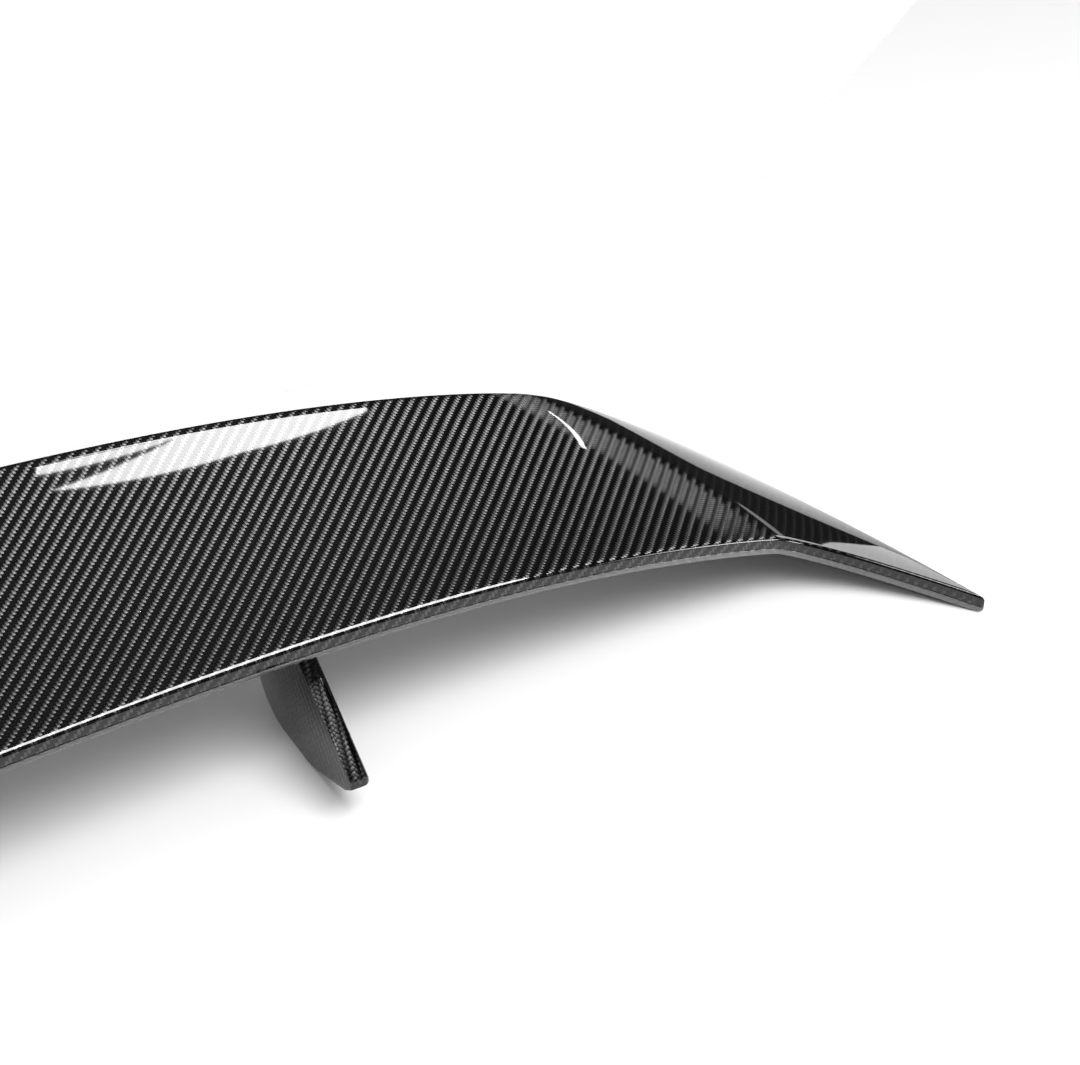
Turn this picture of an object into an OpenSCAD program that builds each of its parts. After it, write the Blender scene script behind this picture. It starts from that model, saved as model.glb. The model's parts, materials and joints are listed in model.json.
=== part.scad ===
// Racing rear wing for a boot lid: two bonded carbon skins over spars, ribs and foam,
// on two raked stanchions, with ends that droop into winglets and stand on the lid.
// Axes: X across the car, Y back along the airflow, Z up. Units are millimetres.

/* [Blade] */
// Height of the leading edge above the lid at the middle
lead_height = 88; // [60:0.5:120]
// Height of the trailing edge above the lid at the middle
trail_height = 131; // [90:0.5:170]
// Place of the winglet knee along the leading edge, from the middle
knee_x = 606; // [540:1:660]
// Place of the rear corner along the trailing edge, from the middle
corner_x = 533; // [460:1:580]
// How far the leading edge has dropped at the knee
lead_droop = 43; // [20:0.1:60]
// How far the trailing edge has dropped at the rear corner
trail_droop = 43.5; // [20:0.1:60]
// Sag of the upper surface below a straight chord
chord_sag = 5.2; // [0:0.1:10]
// Extra depth of the section a third of the way back
section_hump = 14; // [4:0.5:24]
// Depth of the leading edge
lead_depth = 11; // [6:0.1:14]
// Depth of the trailing edge
trail_depth = 4; // [3.6:0.1:8]

/* [Plan outline] */
// Y of the leading edge at the knee
knee_y = 9.5; // [0:0.5:30]
// Y of the trailing edge at the middle
trail_y = 178; // [150:0.5:210]
// How far the leading edge bows forward between the knees
lead_bow = 45; // [0:0.5:70]
// How far the rear corner sits ahead of the trailing edge's middle
trail_sweep = 10; // [0:0.5:30]

/* [Winglet] */
// X and Y of the front tip
tip = [707, -64]; // [0:1:800]
// X and Y of the rear foot corner
heel = [646, 171]; // [0:1:800]
// How far the rim bows outward between them
rim_bow = 4.5; // [0:0.5:12]
// Height of the rim's top edge at the tip and at the heel
rim_top = [11, 13]; // [8:0.5:20]
// Slope added at the crease, at the front and at the rear
fold = [0.16, 0.35]; // [0:0.01:0.6]
// Width that the crease is rounded over, at the front and at the rear
fold_width = [3, 15]; // [1:1:80]

/* [Skins] */
// Thickness of each carbon skin
wall = 1.5; // [1:0.1:2.5]
// Share of an edge's depth that the upper skin covers
seam_share = 0.64; // [0.4:0.01:0.8]
// Adhesive line between bonded pieces
bond = 0.15; // [0.1:0.05:0.4]
// Room between the skins and the pieces inside
fit_gap = 0.35; // [0.2:0.05:0.8]

/* [Structure] */
// Chord shares of the front and rear spars
spar_at = [0.09, 0.6]; // [0:0.01:1]
// Thickness of spars and ribs
web = 3; // [2:0.5:5]
// X of the ribs on each side
rib_x = [130, 258, 354, 450]; // [0:1:600]

/* [Stanchions] */
// X of a stanchion's inner face
stanchion_x = 300; // [240:1:380]
// Thickness of a stanchion
stanchion_t = 12; // [10:0.5:20]
// Rake of its leading edge above the horizontal
rake = 34.4; // [25:0.1:60]
// Y and Z of its toe
toe = [-46, 20]; // [-80:1:60]
// Y where the flat foot starts and ends
foot_y = [12, 42]; // [-20:1:80]
// Radius of the heel behind the foot
heel_r = 34; // [10:1:60]
// Radius along the outer front edge
front_r = 5; // [1:0.5:6]

/* [Fasteners] */
// Y of the two screws that hold each stanchion
screw_y = [36, 56]; // [20:1:80]
// Y of the two tapped holes in each foot
stud_y = [19, 35]; // [10:1:60]
// Tapping radius of the M6 foot and rim holes
tap_r = 2.5; // [2:0.05:4]
// Depth of the M6 holes in the feet
tap_depth = 14; // [8:1:20]
// Chord shares of the two tapped holes in each rim
rim_hole_at = [0.25, 0.75]; // [0:0.01:1]
// Height that the tapped holes in the rims reach
rim_tap_top = 8; // [5:0.5:9]

/* [Hidden] */
$fn = 48;
sides = [["left", -1], ["right", 1]];
over = 1;
through = 40;

mid_y = 58;
typical_chord = 180;
typical_winglet = 120;
lead_power = 3.7;
trail_power = 3;
centre_round = 90;
hump_scale = 6.75;
fold_power = 6;
bend_out = [42, 2.5];
foot_blend = [0.55, 0.84];
front_shift = 0.3;
front_shift_end = 0.25;

body_span = 0.985;
nose_shares = [0.014, 0.03, 0.05, 0.082];
tail_shares = [0.62, 0.7, 0.78, 0.86, 0.92, 0.96];
rib_shares = [spar_at[0] + 0.02, spar_at[1] - 0.003];
winglet_span = [1.02, 1.83];
winglet_shares = [0.03, 0.09, 0.18, 0.3, 0.45, 0.6, 0.75, 0.88, 0.965];
rim_span = [1.845, 1.91, 1.98];
rim_shares = [0.03, 0.965];
rim_hole_v = 1.925;
rim_hole_clear = 0.7;

belly = [[-38, 14.5], [-10, 5.2], [4, 1]];
lead_foot = toe + [1.5, 4.5];
lead_len = 130;
heel_lean = 6;
heel_top = 110;
foot_hole_clear = 0.3;

plate_z = 76;
plate_t = 4;
plate_size = [50, 40];
plate_y = 26;
washer_t = 1;
washer_rim = 0.75;
head_h = 5;
head_r = 4.25;
socket_r = 2.31;
socket_depth = 2.5;
shank_r = 2.08;
screw_hole_r = 2.75;
screw_tap_r = 2.1;
screw_len = 20;
screw_room = 2;

chord_grid = [0, 0.03, 0.07, 0.12, 0.18, 0.25, 0.33, 0.42, 0.52, 0.62, 0.72, 0.82, 0.91, 0.97, 1];
half_grid = concat([for (i = [0:9]) i * 0.1], [0.94, 0.975], [1, 1.03, 1.07],
                   [for (i = [0:8]) 1.14 + i * 0.1], [1.97, 2]);
span_grid = concat([for (i = [len(half_grid) - 1:-1:1]) -half_grid[i]], half_grid);
body_grid = [for (i = [-12:12]) i / 12 * body_span];

// ---- The wing's surfaces, as functions of span place v and chord share c ----
// v runs from 0 at the middle to 1 at the crease and 2 at the rim, and is negative on the left.

function mix(a, b, t) = a + (b - a) * t;
function ease(t) = t * t * (3 - 2 * t);
function clamp(a, lo, hi) = min(max(a, lo), hi);

function lead_line(x) = let (s = sqrt(x * x + centre_round * centre_round))
    knee_y - lead_bow * pow(1 - min(s / (knee_x - 11), 1), 2);
function trail_line(x) = trail_y - trail_sweep * pow(min(x / corner_x, 1), 5);

function crease_x(c) = knee_x - (knee_x - corner_x) * c * c;
function crease(c) = [crease_x(c), mix(knee_y, trail_y - trail_sweep, c)];
function rim(c) = [mix(tip.x, heel.x, c) + 4 * rim_bow * c * (1 - c), mix(tip.y, heel.y, c)];
function bend(c) = mix([knee_x + bend_out.x, knee_y + bend_out.y], [(corner_x + heel.x) / 2, heel.y], c);
function winglet_len(c) = norm(rim(c) - crease(c));

function plan(v, c) = let (u = abs(v), t = max(u - 1, 0), k = crease(c), x = min(u, 1) * k.x,
                           p = u <= 1 ? [x, mix(lead_line(x), trail_line(x), c)]
                                      : (1 - t) * (1 - t) * k + 2 * t * (1 - t) * bend(c) + t * t * rim(c))
    [v < 0 ? -p.x : p.x, p.y];

function fall(x, height, droop, end, power) =
    height - droop * (x <= end ? pow(x / end, power) : 1 + power * (x / end - 1));
function blade_z(x, c) = mix(fall(x, lead_height, lead_droop, knee_x, lead_power),
                             fall(x, trail_height, trail_droop, corner_x, trail_power), c)
                         - 4 * chord_sag * c * (1 - c);

function soft(d, w) = (d + sqrt(d * d + w * w)) / 2;
function fold_drop(d, c) = mix(fold[0], fold[1], pow(c, fold_power))
    * soft(d, mix(fold_width[0], fold_width[1], c * c));
function rim_height(c) = mix(rim_top[0], rim_top[1], c);
function curl(c) = blade_z(rim(c).x, c) - fold_drop(winglet_len(c), c) - rim_height(c);

function top_z(v, c) = let (u = abs(v), x = abs(plan(v, c).x), t = max(u - 1, 0),
                            d = u <= 1 ? x - crease_x(c) : t * winglet_len(c))
    blade_z(x, c) - fold_drop(d, c) - curl(c) * t * t;

function depth(c) = mix(lead_depth, trail_depth, c) + section_hump * hump_scale * c * (1 - c) * (1 - c);
// The underside flattens into a foot along the rim, and later at the leading edge.
function foot_share(v, c) = let (later = front_shift * (1 - ease(min(c / front_shift_end, 1))))
    clamp((abs(v) - 1 - later - foot_blend[0]) / (foot_blend[1] - foot_blend[0]), 0, 1);
function bottom_z(v, c) = max((top_z(v, c) - depth(c)) * (1 - ease(foot_share(v, c))), 0);

function seam_z(v, c) = mix(top_z(v, c), bottom_z(v, c), seam_share);

function at(v, c, z) = let (p = plan(v, c)) [p.x, p.y - mid_y, z];

// ---- Lofted solids ----

// A thick sheet whose outer and inner grids share their size.
module sheet(outer, inner) {
    rows = len(outer);
    cols = len(outer[0]);
    n = rows * cols;
    loop = concat([for (j = [0:cols - 1]) j],
                  [for (i = [1:rows - 1]) i * cols + cols - 1],
                  [for (j = [cols - 2:-1:0]) (rows - 1) * cols + j],
                  [for (i = [rows - 2:-1:1]) i * cols]);
    m = len(loop);
    polyhedron(
        points = concat([for (row = outer) each row], [for (row = inner) each row]),
        faces = concat(
            [for (i = [0:rows - 2]) for (j = [0:cols - 2]) let (a = i * cols + j)
                each [[a, a + 1, a + cols + 1], [a, a + cols + 1, a + cols]]],
            [for (i = [0:rows - 2]) for (j = [0:cols - 2]) let (a = n + i * cols + j)
                each [[a, a + cols + 1, a + 1], [a, a + cols, a + cols + 1]]],
            [for (k = [0:m - 1]) let (a = loop[k], b = loop[(k + 1) % m])
                each [[a, n + a, n + b], [a, n + b, b]]]),
        convexity = 8);
}

// A skin's grid, with a border turned over the edge as far as the seam.
function edged(vs, cs, face_z, edge_z, v_end, c_ends) = let (last_v = len(vs) - 1, last_c = len(cs) - 1)
    [for (i = [-1:last_v + 1]) [for (j = [-1:last_c + 1])
        let (v = clamp(vs[clamp(i, 0, last_v)], -v_end, v_end),
             c = clamp(cs[clamp(j, 0, last_c)], c_ends[0], c_ends[1]),
             edge = i < 0 || i > last_v || j < 0 || j > last_c)
        at(v, c, edge ? edge_z(v, c) : face_z(v, c))]];

edge_in = [wall / typical_chord, 1 - wall / typical_chord];
rim_in = 2 - wall / typical_winglet;

// A block between the skins, over a list of span places and chord shares.
module filling(vs, cs, low = function (v, c) bottom_z(v, c) + wall + fit_gap,
                       high = function (v, c) top_z(v, c) - wall - fit_gap) {
    sheet([for (v = vs) [for (c = cs) at(v, c, high(v, c))]],
          [for (v = vs) [for (c = cs) at(v, c, low(v, c))]]);
}

// The same, with its ends square to X.
module straight_filling(xs, cs, low = function (v, c) bottom_z(v, c) + wall + fit_gap,
                                high = function (v, c) top_z(v, c) - wall - fit_gap) {
    sheet([for (x = xs) [for (c = cs) let (v = x / crease_x(c)) at(v, c, high(v, c))]],
          [for (x = xs) [for (c = cs) let (v = x / crease_x(c)) at(v, c, low(v, c))]]);
}

function spread(a, b, n) = [for (i = [0:n]) mix(a, b, i / n)];
module on_side(side) if (side > 0) children(); else mirror([1, 0, 0]) children();
module upright(x, y, z) translate([x, y - mid_y, z]) children();

// ---- Skins ----

module upper_skin() color("#202326")
    sheet(edged(span_grid, chord_grid, function (v, c) top_z(v, c),
                function (v, c) seam_z(v, c), 2, [0, 1]),
          edged(span_grid, chord_grid, function (v, c) top_z(v, c) - wall,
                function (v, c) seam_z(v, c), rim_in, edge_in));

module lower_skin() color("#26292c") difference() {
    sheet(edged(span_grid, chord_grid, function (v, c) bottom_z(v, c) + wall,
                function (v, c) seam_z(v, c) - bond, rim_in, edge_in),
          edged(span_grid, chord_grid, function (v, c) bottom_z(v, c),
                function (v, c) seam_z(v, c) - bond, 2, [0, 1]));
    for (side = sides) on_side(side[1]) {
        root_screw_places() translate([0, 0, -through / 2]) cylinder(r = screw_hole_r, h = through);
        rim_hole_places() translate([0, 0, -over]) cylinder(r = tap_r + rim_hole_clear, h = wall + 2 * over);
    }
}

// ---- Pieces inside the blade ----

module nose_foam() color("#d8d2c0")
    filling(body_grid, nose_shares);

module tail_foam() color("#d8d2c0")
    filling(body_grid, tail_shares);

module spar(c) filling(body_grid, [c, c + web / typical_chord]);
module front_spar() color("#3a3e42") spar(spar_at[0]);
module rear_spar() color("#3a3e42") spar(spar_at[1]);

module rib(x) color("#4a4e52")
    straight_filling([x - web / 2, x + web / 2], spread(rib_shares[0], rib_shares[1], 8));

module winglet_foam(side) color("#d8d2c0") on_side(side)
    filling(spread(winglet_span[0], winglet_span[1], 7), winglet_shares);

module rim_hole_places() for (c = rim_hole_at) let (p = plan(rim_hole_v, c)) upright(p.x, p.y, 0) children();

module rim_block(side) color("#8d8f8a") on_side(side) difference() {
    filling(rim_span, spread(rim_shares[0], rim_shares[1], 8));
    rim_hole_places() cylinder(r = tap_r, h = rim_tap_top);
}

// ---- Stanchion joint ----

stanchion_mid = stanchion_x + stanchion_t / 2;
module root_screw_places() for (y = screw_y) upright(stanchion_mid, y, plate_z) children();
function share(x, y) = (y - lead_line(x)) / (trail_line(x) - lead_line(x));

module root_packer(side) color("#6f726c") on_side(side) difference() {
    straight_filling(spread(stanchion_mid - plate_size.x / 2, stanchion_mid + plate_size.x / 2, 4),
                     spread(share(stanchion_x, plate_y), share(stanchion_x, plate_y + plate_size.y), 6),
                     high = function (v, c) plate_z - bond);
    root_screw_places() translate([0, 0, -through / 2]) cylinder(r = screw_hole_r, h = through);
}

module hardpoint_plate(side) color("#b9bcc0") on_side(side) difference() {
    upright(stanchion_mid - plate_size.x / 2, plate_y, plate_z)
        cube([plate_size.x, plate_size.y, plate_t]);
    root_screw_places() translate([0, 0, -over]) cylinder(r = screw_hole_r, h = plate_t + 2 * over);
}

module root_washers(side) color("#c8cacc") on_side(side) root_screw_places()
    translate([0, 0, plate_t]) difference() {
        cylinder(r = head_r + washer_rim, h = washer_t);
        translate([0, 0, -over]) cylinder(r = screw_hole_r, h = washer_t + 2 * over);
    }

module root_screws(side) color("#55585c") on_side(side) root_screw_places()
    translate([0, 0, plate_t + washer_t]) difference() {
        union() {
            cylinder(r = head_r, h = head_h);
            translate([0, 0, -screw_len]) cylinder(r = shank_r, h = screw_len + over);
        }
        translate([0, 0, head_h - socket_depth]) cylinder(r = socket_r, h = socket_depth + over, $fn = 6);
    }

// ---- Stanchions ----

module side_outline() polygon(concat(
    [toe], belly, [[foot_y[0], 0]],
    [for (a = [-90:13:-12]) [foot_y[1] + heel_r * cos(a), heel_r + heel_r * sin(a)]],
    [[foot_y[1] + heel_r + heel_lean, heel_top], lead_foot + lead_len * [cos(rake), sin(rake)], lead_foot]));

// The side outline, given thickness from x0 to x1, cut in by a margin all round.
module side_slab(x0, x1, margin = 0)
    translate([x0, -mid_y, 0]) rotate([90, 0, 90]) linear_extrude(x1 - x0)
        offset(delta = -margin) side_outline();

// A bar along the rake that rounds the outer front edge.
module raked_bar(x1, r) {
    upright(0, lead_foot.x, lead_foot.y) rotate([rake - 90, 0, 0]) translate([0, 0, -lead_len])
        linear_extrude(3 * lead_len) difference() {
            translate([stanchion_x - over, -over]) square([x1 - stanchion_x + over, 2 * lead_len]);
            difference() {
                translate([x1 - r, -2 * over]) square([r + over, r + 2 * over]);
                translate([x1 - r, r]) circle(r = r);
            }
        }
}

// The room above the blade's underside, which the stanchion's top stops at.
module above_underside()
    straight_filling(spread(stanchion_x - stanchion_t, stanchion_x + 2 * stanchion_t, 2),
                     spread(0.04, 0.55, 14),
                     low = function (v, c) bottom_z(v, c) - bond, high = function (v, c) 2 * heel_top);

module stanchion_inner_plate(side) color("#2b2e31") on_side(side) difference() {
    side_slab(stanchion_x, stanchion_x + wall);
    above_underside();
}

module stanchion_outer_shell(side) color("#232629") on_side(side) difference() {
    intersection() {
        side_slab(stanchion_x + wall + bond, stanchion_x + stanchion_t);
        raked_bar(stanchion_x + stanchion_t, front_r);
    }
    intersection() {
        side_slab(stanchion_x, stanchion_x + stanchion_t - wall, wall);
        raked_bar(stanchion_x + stanchion_t - wall, front_r - wall);
    }
    foot_hole_places() translate([0, 0, -over]) cylinder(r = tap_r + foot_hole_clear, h = wall + 2 * over);
    above_underside();
}

module foot_hole_places() for (y = stud_y) upright(stanchion_mid, y, 0) children();

module stanchion_core(side) color("#a9adb1") on_side(side) difference() {
    intersection() {
        side_slab(stanchion_x + wall + 2 * bond, stanchion_x + stanchion_t - wall - bond, wall + bond);
        raked_bar(stanchion_x + stanchion_t - wall - bond, front_r - wall);
    }
    foot_hole_places() cylinder(r = tap_r, h = wall + tap_depth);
    root_screw_places() translate([0, 0, plate_t + washer_t - screw_len - screw_room])
        cylinder(r = screw_tap_r, h = through);
    above_underside();
}

// ---- Nodes ----

upper_skin();
lower_skin();
nose_foam();
tail_foam();
front_spar();
rear_spar();
rib(0);  // rib_centre
for (side = sides) for (i = [0:3])
    rib(side[1] * rib_x[i]);
for (side = sides) {
    winglet_foam(side[1]);
    rim_block(side[1]);
    root_packer(side[1]);
    hardpoint_plate(side[1]);
    root_screws(side[1]);
    root_washers(side[1]);
    stanchion_core(side[1]);
    stanchion_outer_shell(side[1]);
    stanchion_inner_plate(side[1]);
}
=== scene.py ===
"""Racing rear wing: gloss 2x2 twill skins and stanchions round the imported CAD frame.

Lengths in the surface formulas are in millimetres, with Y counted from the wing's own datum, as in
the CAD source. Everything that reaches Blender is in metres, in the CAD frame.
"""
import json
import math

import bmesh
import bpy
import numpy as np
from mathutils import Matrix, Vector


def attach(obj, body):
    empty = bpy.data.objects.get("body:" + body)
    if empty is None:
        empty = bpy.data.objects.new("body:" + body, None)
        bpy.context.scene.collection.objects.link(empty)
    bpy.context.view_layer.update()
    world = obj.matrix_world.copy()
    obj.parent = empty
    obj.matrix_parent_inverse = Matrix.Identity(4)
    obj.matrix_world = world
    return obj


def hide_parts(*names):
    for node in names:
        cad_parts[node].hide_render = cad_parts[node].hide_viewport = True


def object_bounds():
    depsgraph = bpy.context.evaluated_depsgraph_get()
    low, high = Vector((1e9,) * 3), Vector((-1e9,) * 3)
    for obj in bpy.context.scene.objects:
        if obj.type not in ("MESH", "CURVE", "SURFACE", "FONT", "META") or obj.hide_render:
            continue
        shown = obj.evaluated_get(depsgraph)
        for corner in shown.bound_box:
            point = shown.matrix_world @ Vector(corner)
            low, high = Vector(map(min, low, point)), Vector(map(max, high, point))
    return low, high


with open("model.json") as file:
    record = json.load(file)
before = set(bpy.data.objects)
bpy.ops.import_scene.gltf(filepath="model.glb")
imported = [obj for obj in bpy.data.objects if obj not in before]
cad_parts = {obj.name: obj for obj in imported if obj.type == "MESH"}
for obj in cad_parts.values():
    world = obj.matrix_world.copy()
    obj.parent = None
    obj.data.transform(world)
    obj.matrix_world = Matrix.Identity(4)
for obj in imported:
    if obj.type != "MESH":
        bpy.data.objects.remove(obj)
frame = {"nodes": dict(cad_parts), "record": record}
cad_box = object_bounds()
nodes = frame["nodes"]

# ---- The blade's surfaces, with the sizes that the CAD source uses ----

MM = 0.001
MID_Y = 58.0
LEAD_HEIGHT, TRAIL_HEIGHT = 88.0, 131.0
LEAD_DROOP, TRAIL_DROOP = 43.0, 43.5
LEAD_POWER, TRAIL_POWER = 3.7, 3.0
KNEE_X, CORNER_X, KNEE_Y = 606.0, 533.0, 9.5
TRAIL_Y, TRAIL_SWEEP, LEAD_BOW, CENTRE_ROUND = 178.0, 10.0, 45.0, 90.0
TIP, HEEL, RIM_BOW = (707.0, -64.0), (646.0, 171.0), 4.5
BEND_OUT = (42.0, 2.5)
RIM_TOP = (11.0, 13.0)
FOLD, FOLD_POWER, FOLD_WIDTH = (0.16, 0.35), 6, (3.0, 15.0)
CHORD_SAG, SECTION_HUMP, HUMP_SCALE = 5.2, 14.0, 6.75
LEAD_DEPTH, TRAIL_DEPTH = 11.0, 4.0
FOOT_BLEND, FRONT_SHIFT, FRONT_SHIFT_END = (0.55, 0.84), 0.3, 0.25
SEAM_SHARE, WALL, BOND = 0.64, 1.5, 0.15
TYPICAL_WINGLET = 120.0


def mix(a, b, t):
    return a + (b - a) * t


def ease(t):
    return t * t * (3 - 2 * t)


def lead_line(x):
    s = np.sqrt(x * x + CENTRE_ROUND ** 2)
    return KNEE_Y - LEAD_BOW * (1 - np.minimum(s / (KNEE_X - 11), 1)) ** 2


def trail_line(x):
    return TRAIL_Y - TRAIL_SWEEP * np.minimum(x / CORNER_X, 1) ** 5


def crease_x(c):
    return KNEE_X - (KNEE_X - CORNER_X) * c * c


def crease(c):
    return np.stack([crease_x(c), mix(KNEE_Y, TRAIL_Y - TRAIL_SWEEP, c)])


def rim(c):
    return np.stack([mix(TIP[0], HEEL[0], c) + 4 * RIM_BOW * c * (1 - c), mix(TIP[1], HEEL[1], c)])


def bend(c):
    return np.stack([mix(KNEE_X + BEND_OUT[0], (CORNER_X + HEEL[0]) / 2, c),
                     mix(KNEE_Y + BEND_OUT[1], HEEL[1], c)])


def winglet_len(c):
    return np.hypot(*(rim(c) - crease(c)))


def plan(v, c):
    """X and Y at span place v (0 middle, 1 crease, 2 rim, negative on the left) and chord share c."""
    u = np.abs(v)
    t = np.maximum(u - 1, 0)
    k = crease(c)
    x = np.minimum(u, 1) * k[0]
    inner = np.stack([x, mix(lead_line(x), trail_line(x), c)])
    outer = (1 - t) ** 2 * k + 2 * t * (1 - t) * bend(c) + t * t * rim(c)
    p = np.where(u <= 1, inner, outer)
    return np.stack([np.where(v < 0, -p[0], p[0]), p[1]])


def fall(x, height, droop, end, power):
    inside = np.minimum(x / end, 1) ** power
    return height - droop * np.where(x <= end, inside, 1 + power * (x / end - 1))


def blade_z(x, c):
    lead = fall(x, LEAD_HEIGHT, LEAD_DROOP, KNEE_X, LEAD_POWER)
    trail = fall(x, TRAIL_HEIGHT, TRAIL_DROOP, CORNER_X, TRAIL_POWER)
    return mix(lead, trail, c) - 4 * CHORD_SAG * c * (1 - c)


def fold_drop(d, c):
    width = mix(*FOLD_WIDTH, c * c)
    return mix(*FOLD, c ** FOLD_POWER) * (d + np.sqrt(d * d + width * width)) / 2


def top_z(v, c):
    u = np.abs(v)
    x = np.abs(plan(v, c)[0])
    t = np.maximum(u - 1, 0)
    d = np.where(u <= 1, x - crease_x(c), t * winglet_len(c))
    curl = blade_z(rim(c)[0], c) - fold_drop(winglet_len(c), c) - mix(*RIM_TOP, c)
    return blade_z(x, c) - fold_drop(d, c) - curl * t * t


def bottom_z(v, c):
    depth = mix(LEAD_DEPTH, TRAIL_DEPTH, c) + SECTION_HUMP * HUMP_SCALE * c * (1 - c) ** 2
    later = FRONT_SHIFT * (1 - ease(np.minimum(c / FRONT_SHIFT_END, 1)))
    t = np.clip((np.abs(v) - 1 - later - FOOT_BLEND[0]) / (FOOT_BLEND[1] - FOOT_BLEND[0]), 0, 1)
    return np.maximum((top_z(v, c) - depth) * (1 - ease(t)), 0)


def seam_z(v, c):
    return mix(top_z(v, c), bottom_z(v, c), SEAM_SHARE)


# ---- Skins, as closed shells ----

# The rounded band along each edge: its width and its drop, each at the leading and at the trailing edge
UPPER_ROUND = ((2.8, 4.5), (2.3, 1.5))
LOWER_ROUND = ((2.8, 1.5), (2.8, 0.8))
BAND_STEPS = np.array([0, 0.03, 0.1, 0.22, 0.4, 0.65, 1.0])  # shares of its width, from the edge inwards
CORNER_R = 3.5  # radius of the tips and the rear corners in plan
FAR = 999.0  # an edge distance that stands for "not in the rounded band"
EDGE_WALL = 0.45  # upright stretch between the rounded band and the seam
LIP_STEPS = ((0.1, 0.14), (0.42, 0.0))  # inset and height of the lip's small round, from its foot inwards
RING_CLOTH = (0.9, 0.98, 1.0, 1.0)  # how far down the upright stretch the cloth has run at each ring


def half_span():
    """Span places from the middle to the rim, close together where the crease is sharp."""
    stretches = ((0.0, 0.9, 60), (0.9, 0.975, 10), (0.975, 0.991, 4), (0.991, 1.0095, 12), (1.0095, 1.05, 8),
                 (1.05, 1.955, 50))
    return np.concatenate([np.linspace(a, b, n, endpoint=False) for a, b, n in stretches])


def skin_grid(widths):
    """Span place, chord share and distance from the edge for each grid point, in rows along the chord.
    The tips and the rear corners are rounded in plan."""
    half = half_span()
    n = len(BAND_STEPS)
    v_base = np.concatenate([half, np.full(n, 2.0)])
    v_share = np.concatenate([np.full(len(half), FAR), BAND_STEPS[::-1]])
    v_base = np.concatenate([-v_base[:0:-1], v_base])[:, None]
    v_share = np.concatenate([v_share[:0:-1], v_share])[:, None]
    middle = np.concatenate([np.linspace(0.03, 0.09, 5), np.linspace(0.11, 0.89, 41), np.linspace(0.91, 0.96, 4)])
    c_base = np.concatenate([np.zeros(n), middle, np.ones(n)])[None, :]
    c_off = np.concatenate([BAND_STEPS * widths[0], np.full(len(middle), FAR), BAND_STEPS[::-1] * widths[1]])
    c_off = c_off[None, :]
    everywhere = 0 * v_base * c_base
    chord = np.hypot(*(plan(v_base, 1 + 0 * v_base) - plan(v_base, 0 * v_base)))
    in_v = np.where(v_share < FAR, v_share * mix(*widths, c_base), (2 - np.abs(v_base)) * TYPICAL_WINGLET)
    in_c = np.where(c_off < FAR, c_off, np.minimum(c_base, 1 - c_base) * chord)
    in_v, in_c = in_v + everywhere, in_c + everywhere
    q = CORNER_R - np.stack([in_v, in_c])
    corner = (q[0] > 0) & (q[1] > 0)
    length = np.maximum(np.hypot(*q), 1e-9)
    shrink = np.where(corner, np.maximum(q[0], q[1]) / length, 1.0)
    in_v = np.where(corner, CORNER_R - q[0] * shrink, in_v)
    in_c = np.where(corner, CORNER_R - q[1] * shrink, in_c)
    edge = np.where(corner, CORNER_R - length * shrink, np.minimum(in_v, in_c))
    v = np.where(v_base < 0, -1, 1) * (2 - in_v / TYPICAL_WINGLET)
    c = np.where(c_base < 0.5, in_c / chord, 1 - in_c / chord)
    return v, c, np.maximum(edge, 0)


def border(rows, cols):
    """Indices of a grid's outermost points, in order round it."""
    return ([j for j in range(cols)] + [i * cols + cols - 1 for i in range(1, rows)]
            + [(rows - 1) * cols + j for j in range(cols - 2, -1, -1)]
            + [i * cols for i in range(rows - 2, 0, -1)])


def place(v, c, z):
    p = plan(v, c)
    return np.stack([p[0], p[1] - MID_Y, z], -1).reshape(-1, 3) * MM


def pulled_in(v, c, by):
    """The same grid, kept at least a distance inside the edge."""
    chord = np.hypot(*(plan(v, 1 + 0 * c) - plan(v, 0 * c)))
    limit = 2 - by / TYPICAL_WINGLET
    return np.clip(v, -limit, limit), np.clip(c, by / chord, 1 - by / chord)


# The chordwise threads' lean far out, as a share of their length, and the X distance over which it builds up
FAN = (0.1, 250.0)


def cloth_lengths(v, c, z):
    """Distances along the cloth's two thread directions, so that the weave keeps its size on the slopes. The
    chordwise threads fan out a little towards the ends, as cloth does when it is draped round a bow."""
    x, y = plan(v, c)
    along = np.zeros_like(x)
    along[1:] = np.cumsum(np.hypot(np.diff(x, axis=0), np.diff(z, axis=0)), axis=0)
    middle = len(x) // 2
    along -= along[middle]
    across = np.zeros_like(x)
    across[:, 1:] = np.cumsum(np.hypot(np.diff(y, axis=1), np.diff(z, axis=1)), axis=1)
    along += across * FAN[0] * np.tanh(x / FAN[1])
    return along * MM, (across + y[:, :1]) * MM


def make_piece(name, points, faces, cloth, zones, material):
    """An object with the cloth's coordinates as its UV map and one number per point for each zone."""
    mesh = bpy.data.meshes.new(name)
    mesh.from_pydata(points.tolist(), [], faces)
    layer = mesh.uv_layers.new(name="cloth")
    loops = np.zeros(len(mesh.loops), int)
    mesh.loops.foreach_get("vertex_index", loops)
    layer.data.foreach_set("uv", cloth[loops].ravel())
    for zone, amount in zones.items():
        mesh.attributes.new(zone, "FLOAT", "POINT").data.foreach_set("value", amount)
    mesh.polygons.foreach_set("use_smooth", [True] * len(mesh.polygons))
    mesh.materials.append(material)
    piece = bpy.data.objects.new(name, mesh)
    bpy.context.scene.collection.objects.link(piece)
    return piece


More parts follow.
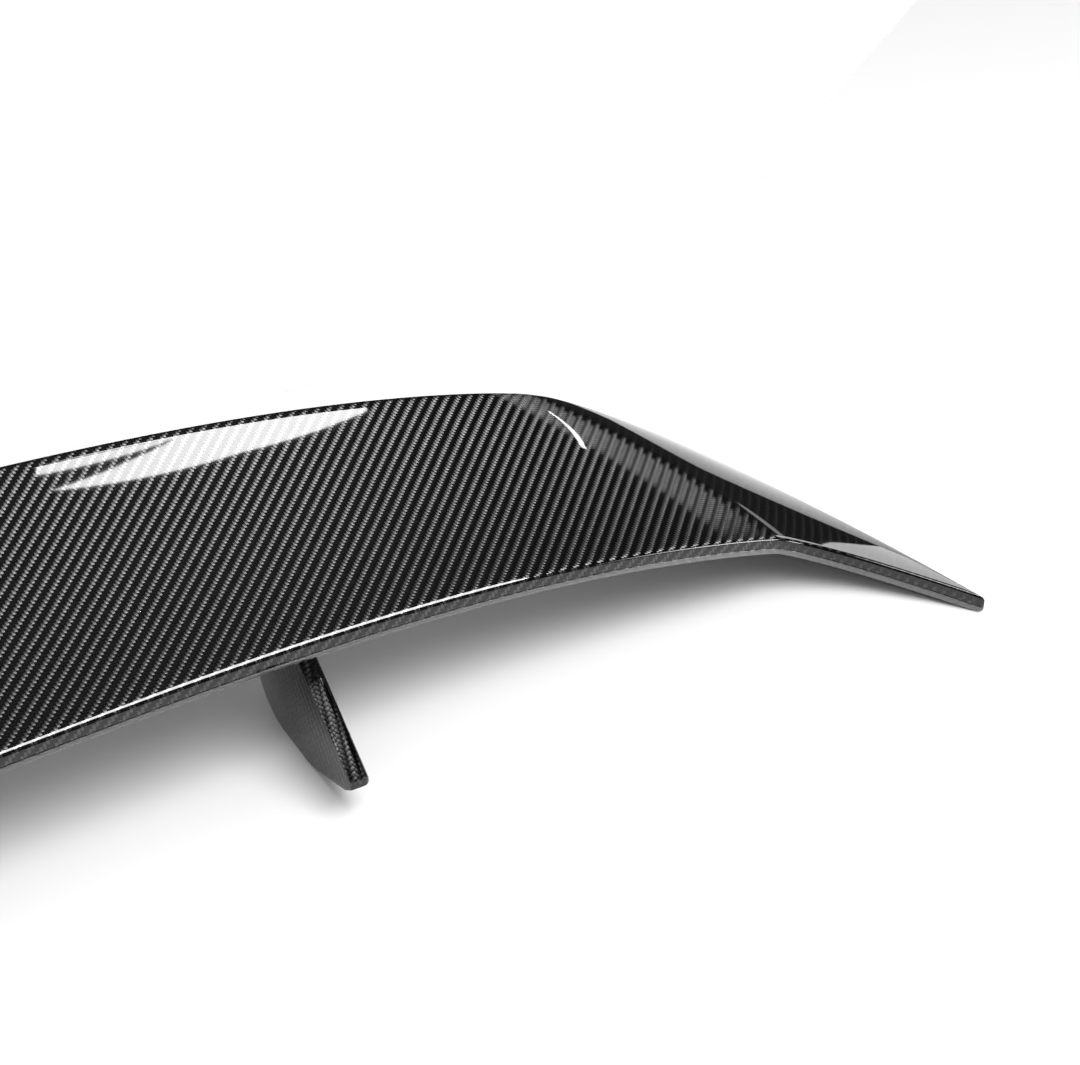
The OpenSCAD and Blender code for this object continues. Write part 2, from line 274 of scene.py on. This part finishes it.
# Where the winglets' painted shade and the shoulder's painted highlight begin, and how fast they fade in
WINGLET_FROM, WINGLET_BLEND = 0.992, 0.010  # span places
SHOULDER_FROM, SHOULDER_RISE, SHOULDER_TO, SHOULDER_FALL = 0.937, 0.012, 0.990, 0.008
SHOULDER_CHORD = 0.2  # chord share over which the shoulder fades in behind the leading edge
# Where the turned edge's painted shade and the lip's lighter grey fade in, across the rounded band
EDGE_FROM, EDGE_BLEND, LIP_BLEND = 0.6, 0.3, 0.5  # shares of the rounded band


def skin_zones(v, c, share, upper):
    """How far each point belongs to the places where the cloth's colour is painted to stand in for light: the
    winglets, whose chordwise threads are darkened as painted shade, the shoulder before the crease, whose spanwise
    threads are lightened as a painted highlight so that both thread directions show, the turned edge, darkened as
    painted shade, and the lower skin's lip, a plain lighter grey with no weave that is partly its own unwoven
    finish and partly a painted reflection of the floor."""
    u = np.abs(v)
    steps = {
        "winglet": np.clip((u - WINGLET_FROM) / WINGLET_BLEND, 0, 1),
        "shoulder": (np.clip((u - SHOULDER_FROM) / SHOULDER_RISE, 0, 1)
                     * np.clip((SHOULDER_TO - u) / SHOULDER_FALL, 0, 1) * np.clip(c / SHOULDER_CHORD, 0, 1)),
        "edge": np.clip((share - EDGE_FROM) / EDGE_BLEND, 0, 1),
        "lip": np.clip(share / LIP_BLEND, 0, 1) * (not upper)}
    return {zone: (amount + 0 * c * u).ravel() for zone, amount in steps.items()}


def skin(name, upper, material):
    """One carbon skin: its outer face with a rounded edge, a short wall down (or up) to the seam, and its
    inner face, joined into one closed shell."""
    widths, drops = UPPER_ROUND if upper else LOWER_ROUND
    v, c, edge = skin_grid(widths)
    share = np.clip(1 - edge / mix(*widths, c), 0, 1)
    rounding = mix(*drops, c) * (1 - np.sqrt(1 - share * share))
    face = top_z if upper else bottom_z
    sign = -1 if upper else 1
    z = face(v, c) + sign * rounding
    rows, cols = v.shape
    loop = border(rows, cols)
    bv, bc = v.ravel()[loop], c.ravel()[loop]
    lip = seam_z(bv, bc) + (0 if upper else -BOND)
    rings = [place(bv, bc, lip - sign * EDGE_WALL)]
    for step_in, rise in (*LIP_STEPS, (WALL, 0.0)):
        rings.append(place(*pulled_in(bv, bc, step_in), lip - sign * rise))
    inner_v, inner_c = pulled_in(v, c, WALL)
    inner = place(inner_v, inner_c, face(inner_v, inner_c) + sign * WALL)
    points = np.concatenate([place(v, c, z)] + rings + [inner])

    faces = []
    for i in range(rows - 1):
        for j in range(cols - 1):
            a = i * cols + j
            faces.append((a, a + cols, a + cols + 1, a + 1))
    count, m = rows * cols, len(loop)
    levels = [loop] + [[count + k * m + i for i in range(m)] for k in range(len(rings))]
    start = count + len(rings) * m
    levels.append([start + i for i in loop])
    for a, b in zip(levels[:-1], levels[1:]):
        for i in range(m):
            n = (i + 1) % m
            faces.append((a[i], a[n], b[n], b[i]))
    for i in range(rows - 1):
        for j in range(cols - 1):
            a = start + i * cols + j
            faces.append((a, a + 1, a + cols + 1, a + cols))
    if not upper:
        faces = [f[::-1] for f in faces]

    along, across = cloth_lengths(v, c, z)
    cloth = np.stack([along, across], -1).reshape(-1, 2)
    out_v = np.where(np.abs(bv) >= 2 - 1e-6, np.sign(bv), 0)
    out_c = np.where(bc <= 1e-6, -1, np.where(bc >= 1 - 1e-6, 1, 0)) * (out_v == 0)
    outward = np.stack([out_v, out_c], -1)
    rim_cloth = cloth[loop]
    wall = np.abs(z.ravel()[loop] - lip)[:, None] * MM
    ring_cloth = [rim_cloth + outward * wall * run for run in RING_CLOTH]
    cloth = np.concatenate([cloth] + ring_cloth + [cloth])
    outer = skin_zones(v, c, share, upper)
    # The edge's rings carry the turned edge's painted shade, a little of the winglets' painted shade, and on the
    # lower skin the lip's lighter grey
    ring = {"winglet": 0.3 * outer["winglet"][loop], "shoulder": np.zeros(m), "edge": np.ones(m),
            "lip": np.full(m, float(not upper))}
    zones = {zone: np.concatenate([amount] + [ring[zone]] * len(rings) + [0 * amount])
             for zone, amount in outer.items()}
    return make_piece(name, points, faces, cloth, zones, material)


# ---- Materials ----

TOW = 0.002  # width of one thread of the cloth
# The chordwise threads' lighter level is a painted highlight, lowered on the winglets as painted shade; the
# spanwise threads' near-black level is painted shade
CHORD_LIT_TONE, WINGLET_SHADE_TONE = 0.12, 0.025  # the threads along the chord, on the blade and on the winglets
# On the shoulder the spanwise threads' raised level is a painted highlight
SPAN_UNLIT_TONE, SHOULDER_HIGHLIGHT_TONE = 0.004, 0.22  # the threads along the span, on the blade and on the shoulder
# The edge's share darkens the chordwise threads on the turned edge as painted shade, and the shoulder's share dims
# them a little inside its painted highlight band
EDGE_SHADE_SHARE, SHOULDER_SHARE = 0.7, 0.9  # how much of the chordwise tone is left on the edge and the shoulder
# The lip's plain lighter grey is partly its own unwoven finish and partly a painted reflection of the floor
LIP_GREY_AND_REFLECTION_TONE = 0.2


class Graph:
    """A short way to write a material's nodes."""

    def __init__(self, name):
        self.material = bpy.data.materials.new(name)
        self.material.use_nodes = True
        self.tree = self.material.node_tree
        self.shader = self.tree.nodes["Principled BSDF"]

    def node(self, kind, values=(), **settings):
        made = self.tree.nodes.new(kind)
        for key, value in settings.items():
            setattr(made, key, value)
        for socket, value in values:
            if isinstance(value, bpy.types.NodeSocket):
                self.tree.links.new(value, made.inputs[socket])
            else:
                made.inputs[socket].default_value = value
        return made

    def math(self, operation, a, b=0.0, c=0.0):
        values = [(0, a), (1, b), (2, c)]
        return self.node("ShaderNodeMath", values, operation=operation).outputs[0]

    def blend(self, share, a, b):
        """a where share is 0, b where it is 1."""
        return self.node("ShaderNodeMix", [(0, share), (2, a), (3, b)]).outputs[0]

    def colour(self, share, a, b):
        return self.node("ShaderNodeMix", [(0, share), (6, a), (7, b)], data_type="RGBA").outputs[2]

    def ramp(self, value, low, high, out_low=0.0, out_high=1.0):
        values = [(0, value), (1, low), (2, high), (3, out_low), (4, out_high)]
        return self.node("ShaderNodeMapRange", values, clamp=True).outputs[0]

    def noise(self, vector, scale, detail=2.0, roughness=0.5):
        values = [("Vector", vector), ("Scale", scale), ("Detail", detail), ("Roughness", roughness)]
        return self.node("ShaderNodeTexNoise", values).outputs[0]

    def vector(self, x, y, z=0.0):
        return self.node("ShaderNodeCombineXYZ", [(0, x), (1, y), (2, z)]).outputs[0]

    def bump(self, height, distance, strength=1.0):
        values = [("Height", height), ("Distance", distance), ("Strength", strength)]
        return self.node("ShaderNodeBump", values).outputs[0]

    def feed(self, **inputs):
        """Sets the shader's sockets: numbers and colours directly, node outputs by a link."""
        for name, value in inputs.items():
            socket = self.shader.inputs[name.replace("_", " ")]
            if isinstance(value, bpy.types.NodeSocket):
                self.tree.links.new(value, socket)
            else:
                socket.default_value = value


def grey(level, warm=0.0):
    return (level * (1 + warm), level, level * (1 - warm), 1.0)


def twill(name):
    """2x2 twill under a deep clear coat. The threads that run along the chord have a lighter base colour, a painted
    highlight, and the threads that run along the span a near-black one, painted shade; each one is rounded,
    streaked with fibres and darker at its sides."""
    g = Graph(name)
    uv = g.node("ShaderNodeUVMap", uv_map="cloth").outputs[0]
    split = g.node("ShaderNodeSeparateXYZ", [(0, uv)])
    slow = g.math("SUBTRACT", g.noise(uv, 9.0, 1.0), 0.5)
    u = g.math("MULTIPLY_ADD", split.outputs[0], 1 / TOW, g.math("MULTIPLY", slow, 0.5))
    v = g.math("MULTIPLY_ADD", split.outputs[1], 1 / TOW, g.math("MULTIPLY", slow, 0.6))
    iu, iv = g.math("FLOOR", u), g.math("FLOOR", v)
    step = g.math("FLOORED_MODULO", g.math("SUBTRACT", iu, iv), 4.0)
    chordwise = g.math("LESS_THAN", step, 1.5)
    side = g.blend(chordwise, g.math("FRACT", v), g.math("FRACT", u))
    run_chord = g.math("FLOORED_MODULO", g.math("ADD", g.math("SUBTRACT", v, iu), 1.0), 4.0)
    run_span = g.math("FLOORED_MODULO", g.math("SUBTRACT", g.math("SUBTRACT", u, iv), 2.0), 4.0)
    run = g.math("MULTIPLY_ADD", g.blend(chordwise, run_span, run_chord), 1.0, -1.0)
    across = g.math("MULTIPLY_ADD", side, 2.0, -1.0)
    crown = g.math("SUBTRACT", 1.0, g.math("POWER", g.math("ABSOLUTE", across), 2.2))
    dip = g.math("SUBTRACT", 1.0, g.math("POWER", g.math("ABSOLUTE", run), 2.4))
    height = g.math("MULTIPLY", crown, dip)

    fibre_chord = g.vector(g.math("MULTIPLY", u, 9.0), g.math("MULTIPLY", v, 0.45))
    fibre_span = g.vector(g.math("MULTIPLY", u, 0.45), g.math("MULTIPLY", v, 9.0))
    fibre_at = g.node("ShaderNodeMix", [(0, chordwise), (4, fibre_span), (5, fibre_chord)],
                      data_type="VECTOR").outputs[1]
    fibre = g.noise(fibre_at, 1.0, 3.0, 0.6)
    which = g.vector(g.math("MULTIPLY", iu, chordwise), g.math("MULTIPLY", iv, g.math("SUBTRACT", 1.0, chordwise)))
    thread = g.node("ShaderNodeTexWhiteNoise", [("Vector", which)], noise_dimensions="2D").outputs[0]
    zone = {key: g.node("ShaderNodeAttribute", attribute_name=key).outputs["Fac"]
            for key in ("winglet", "shoulder", "edge", "lip")}
    tone = g.math("MULTIPLY", g.ramp(fibre, 0.25, 0.75, 0.72, 1.22), g.ramp(thread, 0.0, 1.0, 0.88, 1.1))
    tone = g.math("MULTIPLY", tone, g.ramp(height, 0.0, 0.6, 0.08, 1.0))
    # Painted shade: the chordwise threads' level is lowered on the winglets, on the turned edge, and a little on
    # the shoulder
    bright = g.math("MULTIPLY", g.blend(zone["winglet"], CHORD_LIT_TONE, WINGLET_SHADE_TONE),
                    g.blend(zone["edge"], 1.0, EDGE_SHADE_SHARE))
    bright = g.math("MULTIPLY", bright, g.blend(zone["shoulder"], 1.0, SHOULDER_SHARE))
    # Painted highlight: the spanwise threads are lightened on the shoulder, so both thread directions show there
    faint = g.blend(zone["shoulder"], SPAN_UNLIT_TONE, SHOULDER_HIGHLIGHT_TONE)
    # The chordwise threads take the painted-highlight level and the spanwise threads the painted-shade level
    level = g.math("MULTIPLY", g.blend(chordwise, faint, bright), tone)
    # The lip: plain lighter grey, partly an unwoven finish and partly a painted reflection of the floor
    level = g.blend(zone["lip"], level, LIP_GREY_AND_REFLECTION_TONE)
    shade = g.node("ShaderNodeCombineColor", [(0, level), (1, level), (2, level)]).outputs[0]
    relief = g.math("MULTIPLY_ADD", fibre, 0.12, height)
    tangent = g.node("ShaderNodeTangent", direction_type="UV_MAP", uv_map="cloth").outputs[0]
    g.feed(Base_Color=shade, Metallic=1.0, Roughness=0.5, Anisotropic=0.97,
           Anisotropic_Rotation=g.blend(chordwise, 0.25, 0.0), Tangent=tangent,
           Normal=g.bump(relief, 0.00022, 0.8), Specular_Tint=grey(0.25),
           Coat_Weight=1.0, Coat_Roughness=0.02, Coat_IOR=1.55)
    return g.material


def laminate(name):
    """Uncoated carbon plate on the parts inside."""
    g = Graph(name)
    at = g.node("ShaderNodeTexCoord").outputs["Object"]
    weave = g.node("ShaderNodeTexChecker", [("Vector", at), ("Scale", 500.0)]).outputs["Fac"]
    streak = g.noise(at, 900.0, 3.0)
    g.feed(Base_Color=g.colour(weave, grey(0.055), grey(0.11)), Roughness=g.ramp(streak, 0.3, 0.7, 0.4, 0.6),
           Normal=g.bump(g.math("ADD", weave, streak), 0.0001, 0.5))
    return g.material


def foam(name):
    """Cut closed-cell foam."""
    g = Graph(name)
    at = g.node("ShaderNodeTexCoord").outputs["Object"]
    cells = g.node("ShaderNodeTexVoronoi", [("Vector", at), ("Scale", 1400.0)]).outputs["Distance"]
    shade = g.colour(g.ramp(cells, 0.0, 0.6), (0.70, 0.64, 0.48, 1), (0.86, 0.82, 0.68, 1))
    g.feed(Base_Color=shade, Roughness=0.9, Normal=g.bump(cells, 0.0003, 0.7))
    return g.material


def packer(name):
    """Machined glass-epoxy sheet, with its layers showing."""
    g = Graph(name)
    at = g.node("ShaderNodeTexCoord").outputs["Object"]
    z = g.node("ShaderNodeSeparateXYZ", [(0, at)]).outputs[2]
    layers = g.math("SINE", g.math("MULTIPLY", z, 18000.0))
    speckle = g.noise(at, 1200.0, 2.0)
    g.feed(Base_Color=g.colour(speckle, (0.30, 0.34, 0.25, 1), (0.50, 0.52, 0.42, 1)), Roughness=0.55,
           Normal=g.bump(layers, 0.00005, 0.4))
    return g.material


def machined(name, level, roughness, scale):
    """Turned or milled metal with fine tool marks."""
    g = Graph(name)
    at = g.node("ShaderNodeTexCoord").outputs["Object"]
    stretched = g.node("ShaderNodeMapping", [("Vector", at), ("Scale", (scale, scale * 0.08, scale))]).outputs[0]
    marks = g.noise(stretched, 1.0, 4.0, 0.65)
    g.feed(Base_Color=g.colour(marks, grey(level * 0.85), grey(level)), Metallic=1.0,
           Roughness=g.ramp(marks, 0.3, 0.7, roughness * 0.8, roughness * 1.2),
           Normal=g.bump(marks, 0.00004, 0.5))
    return g.material


carbon = twill("carbon_gloss")
finish = {
    "carbon_plain": laminate("carbon_plain"),
    "foam": foam("foam"),
    "composite_packer": packer("composite_packer"),
    "aluminium": machined("aluminium", 0.62, 0.32, 2500.0),
    "steel_screw": machined("steel_screw", 0.10, 0.38, 4000.0),
    "steel_washer": machined("steel_washer", 0.60, 0.30, 4000.0),
}
for subpart in frame["record"]["subparts"]:
    if subpart["material_slot"] in finish:
        for material_slot in nodes[subpart["node"]].material_slots:
            material_slot.material = finish[subpart["material_slot"]]

# ---- Visible pieces ----

for node_name, is_upper in (("upper_skin", True), ("lower_skin", False)):
    piece = skin(node_name + "_shell", is_upper, carbon)
    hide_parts(node_name)
    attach(piece, "root")

RAKE = math.radians(34.4)
STANCHION_TURN = math.radians(35)  # lay of the cloth on a stanchion, from its leading edge
EDGE_BEVEL, SHARP = 0.0007, math.radians(24)
SAME_POINT = 2e-6
OUTER_X, OUTER_ROUND = 312.0, 4.6
INSIDE_X = 290.0  # anywhere inboard of the outer shell
INWARD, OUTWARD = -0.6, 0.05  # outward share of a face's normal, up to and from which it counts as a side
# A stanchion from its side, Y and Z in millimetres in the CAD frame: toe, belly, foot, heel, top, leading edge
SIDE_OUTLINE = [(-104, 20), (-96, 14.5), (-68, 5.2), (-54, 1), (-46, 0), (-16, 0), (-2, 3), (9, 11), (16, 22),
                (18, 34), (24, 110), (4.8, 98), (-102.5, 24.5)]


def inset(outline, by):
    """A convex outline, listed anticlockwise, moved inwards by a distance."""
    p = np.array(outline, float)
    step = np.roll(p, -1, axis=0) - p
    normal = np.stack([step[:, 1], -step[:, 0]], -1) / np.hypot(*step.T)[:, None]
    reach = (normal * p).sum(-1) - by
    before = np.roll(normal, 1, axis=0)
    return [np.linalg.solve(np.stack([a, b]), (ra, rb)) for a, b, ra, rb in
            zip(before, normal, np.roll(reach, 1), reach)]


def rounded_outside(work, side):
    """Cuts a stanchion's outer shell down to a form whose outer corners are rounded all the way round."""
    points = [(side * INSIDE_X, y, z) for y, z in inset(SIDE_OUTLINE, -1.0)]
    for angle in np.radians(np.linspace(0, 90, 9)):
        x = side * (OUTER_X - OUTER_ROUND + OUTER_ROUND * math.sin(angle))
        points += [(x, y, z) for y, z in inset(SIDE_OUTLINE, OUTER_ROUND * (1 - math.cos(angle)))]
    form = bmesh.new()
    for point in points:
        form.verts.new(Vector(point) * MM)
    hull = bmesh.ops.convex_hull(form, input=form.verts)
    bmesh.ops.delete(form, geom=[g for g in hull["geom_interior"] if isinstance(g, bmesh.types.BMVert)],
                     context="VERTS")
    objects = []
    for source in (work, form):
        mesh = bpy.data.meshes.new("cutting")
        source.to_mesh(mesh)
        objects.append(bpy.data.objects.new("cutting", mesh))
        bpy.context.scene.collection.objects.link(objects[-1])
    cut = objects[0].modifiers.new("round", "BOOLEAN")
    cut.operation, cut.solver, cut.object = "INTERSECT", "EXACT", objects[1]
    bpy.context.view_layer.update()
    result = bpy.data.meshes.new_from_object(objects[0].evaluated_get(bpy.context.evaluated_depsgraph_get()))
    for made in objects:
        bpy.data.objects.remove(made)
    form.free()
    work.clear()
    work.from_mesh(result)
    bmesh.ops.remove_doubles(work, verts=work.verts, dist=SAME_POINT)


def stanchion_piece(node_name):
    """A stanchion's shell or plate: the CAD solid with softened corners, its outer side rounded, and the cloth
    laid over its sides. The weave is darkened on both sides as painted shade, most on the outer side, and clear on
    the faces that look forward, where the spanwise threads are lightened as a painted highlight."""
    work = bmesh.new()
    work.from_mesh(nodes[node_name].data)
    bmesh.ops.remove_doubles(work, verts=work.verts, dist=SAME_POINT)
    bmesh.ops.dissolve_limit(work, angle_limit=math.radians(1.0), verts=work.verts, edges=work.edges)
    if "outer" in node_name:
        rounded_outside(work, -1 if "left" in node_name else 1)
    sharp = [e for e in work.edges if len(e.link_faces) == 2 and e.calc_face_angle(0) > SHARP]
    bmesh.ops.bevel(work, geom=sharp, offset=EDGE_BEVEL, segments=3, profile=0.5, affect="EDGES",
                    clamp_overlap=True)
    for corner in work.verts:
        corner.co.z = max(corner.co.z, 0.0)
    layer = work.loops.layers.uv.new("cloth")
    for face in work.faces:
        face.smooth = True
        n = face.normal
        for loop in face.loops:
            x, y, z = loop.vert.co
            along = y * math.cos(RAKE) + z * math.sin(RAKE)
            up = z * math.cos(RAKE) - y * math.sin(RAKE)
            across = up if abs(n.x) > 0.6 else x
            loop[layer].uv = (along * math.cos(STANCHION_TURN) - across * math.sin(STANCHION_TURN),
                              along * math.sin(STANCHION_TURN) + across * math.cos(STANCHION_TURN))
    mesh = bpy.data.meshes.new(node_name + "_moulding")
    work.to_mesh(mesh)
    work.free()
    mesh.materials.append(carbon)
    # Painted light by which way a face points: the sides' chordwise threads are darkened as painted shade, most on
    # the outer side, the forward and outer faces get the turned edge's painted shade, and the forward faces'
    # spanwise threads are lightened as a painted highlight
    zones = {"winglet": [], "shoulder": [], "edge": []}
    for face in mesh.polygons:
        outwards = face.normal.x * math.copysign(1, face.center.x)
        forward = INWARD <= outwards <= OUTWARD
        zones["winglet"].append(0.2 if forward else 1.0 if outwards > OUTWARD else 0.6)
        zones["shoulder"].append(0.3 if forward else 0.0)
        zones["edge"].append(1.0 if outwards >= INWARD else 0.0)
    for zone, amount in zones.items():
        mesh.attributes.new(zone, "FLOAT", "FACE").data.foreach_set("value", amount)
    made = bpy.data.objects.new(node_name + "_moulding", mesh)
    bpy.context.scene.collection.objects.link(made)
    return made


for side in ("left", "right"):
    for part in ("stanchion_outer_shell_", "stanchion_inner_plate_"):
        piece = stanchion_piece(part + side)
        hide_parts(part + side)
        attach(piece, "root")

# ---- Floor, light and camera ----

scene = bpy.context.scene
scene.view_settings.view_transform = "Standard"

FLOOR_GAP = 0.0002  # between the floor and the wing's lowest point
# The floor stops behind the wing, where the white world takes over. From the camera the join is very faint
FLOOR_OUTLINE = [(-2.2, -2.2), (3.0, -2.2), (3.0, 1.9), (2.6, 1.68), (1.5, 0.87), (0.77, 0.33), (-2.2, 0.33)]


def sheet(name, corners, material):
    """A flat sheet of any outline that isn't part of the wing."""
    mesh = bpy.data.meshes.new(name)
    mesh.from_pydata(corners, [], [tuple(range(len(corners)))])
    mesh.materials.append(material)
    made = bpy.data.objects.new(name, mesh)
    bpy.context.scene.collection.objects.link(made)
    return made


paint = Graph("floor_paint")
paint.feed(Base_Color=grey(0.9), Roughness=0.7)
paint.shader.inputs["Specular IOR Level"].default_value = 0.1
sheet("floor", [(x, y, cad_box[0].z - FLOOR_GAP) for x, y in FLOOR_OUTLINE], paint.material)

world = bpy.data.worlds.new("studio")
scene.world = world
world.use_nodes = True
tree = world.node_tree
tree.nodes.clear()
out = tree.nodes.new("ShaderNodeOutputWorld")
seen = tree.nodes.new("ShaderNodeLightPath")


def sky(strength):
    made = tree.nodes.new("ShaderNodeBackground")
    made.inputs[0].default_value = grey(1.0)
    made.inputs[1].default_value = strength
    return made.outputs[0]


# Soft light all round, nearly dark in the gloss, and plain white behind the wing
last = sky(0.62)
for ray, strength in (("Is Glossy Ray", 0.04), ("Is Camera Ray", 1.0)):
    both = tree.nodes.new("ShaderNodeMixShader")
    tree.links.new(seen.outputs[ray], both.inputs[0])
    tree.links.new(last, both.inputs[1])
    tree.links.new(sky(strength), both.inputs[2])
    last = both.outputs[0]
tree.links.new(last, out.inputs[0])


def softbox(name, at, towards, size, radiance, lights_floor=False):
    """A rectangular area light of a given radiance, turned to face a point. Each one is flagged off either
    the floor or the gloss."""
    data = bpy.data.lights.new(name, "AREA")
    data.shape = "RECTANGLE"
    data.size, data.size_y = size
    data.energy = radiance * math.pi * size[0] * size[1]
    light = bpy.data.objects.new(name, data)
    light.location = at
    light.rotation_euler = (Vector(towards) - Vector(at)).to_track_quat("-Z", "Y").to_euler()
    light.visible_camera = False
    light.visible_diffuse = lights_floor
    light.visible_glossy = not lights_floor
    scene.collection.objects.link(light)


def light_panel(name, corners, radiance):
    """A glowing panel that shows in the gloss only."""
    glow = Graph(name)
    glow.feed(Base_Color=grey(0.0), Emission_Color=grey(1.0), Emission_Strength=radiance)
    panel = sheet(name, corners, glow.material)
    panel.visible_camera = False
    panel.visible_diffuse = False


# The overhead panel gives the light patch on the deck, and the low one the light front of the winglet
OVERHEAD = [(0.70, 0.788), (1.11, 0.868), (1.50, 0.962), (1.58, 0.66), (0.79, 0.52), (0.68, 0.764), (0.98, 0.797)]
LOW_RIGHT = [(2.173, 1.286, 0.001), (2.185, 1.270, 0.2), (2.2, 1.25, 0.45), (2.43, 0.94, 0.45), (2.43, 0.94, 0.001)]
light_panel("overhead", [(x, y, 1.6) for x, y in OVERHEAD], 14.0)
light_panel("low_right", LOW_RIGHT, 2.3)
softbox("edge_light", (0.90, 0.15, 1.7), (0.90, 0.15, 0.0), (1.4, 0.98), 17.0)
softbox("rear_top", (-0.1, 0.8, 2.1), (0.3, 0.0, 0.1), (0.9, 0.7), 9.0)
softbox("right_front", (2.0, -1.2, 0.78), (0.55, 0.0, 0.06), (0.6, 0.5), 14.0)
softbox("rear_right", (2.208, 1.341, 1.353), (0.535, 0.083, 0.08), (0.03, 0.03), 14.0)
softbox("floor_fill", (0.9, -1.1, 1.9), (0.4, -0.1, 0.0), (1.7, 1.3), 7.0, lights_floor=True)

camera_data = bpy.data.cameras.new("camera")
camera_data.lens = 73.6
camera_data.sensor_width = 36.0
camera_data.sensor_fit = "HORIZONTAL"
camera_data.clip_start = 0.05
camera = bpy.data.objects.new("camera", camera_data)
scene.collection.objects.link(camera)
camera.location = (-0.055, -0.920, 0.7535)
camera.rotation_euler = (math.radians(90 - 33.0), 0.0, math.radians(-29.8))
scene.camera = camera
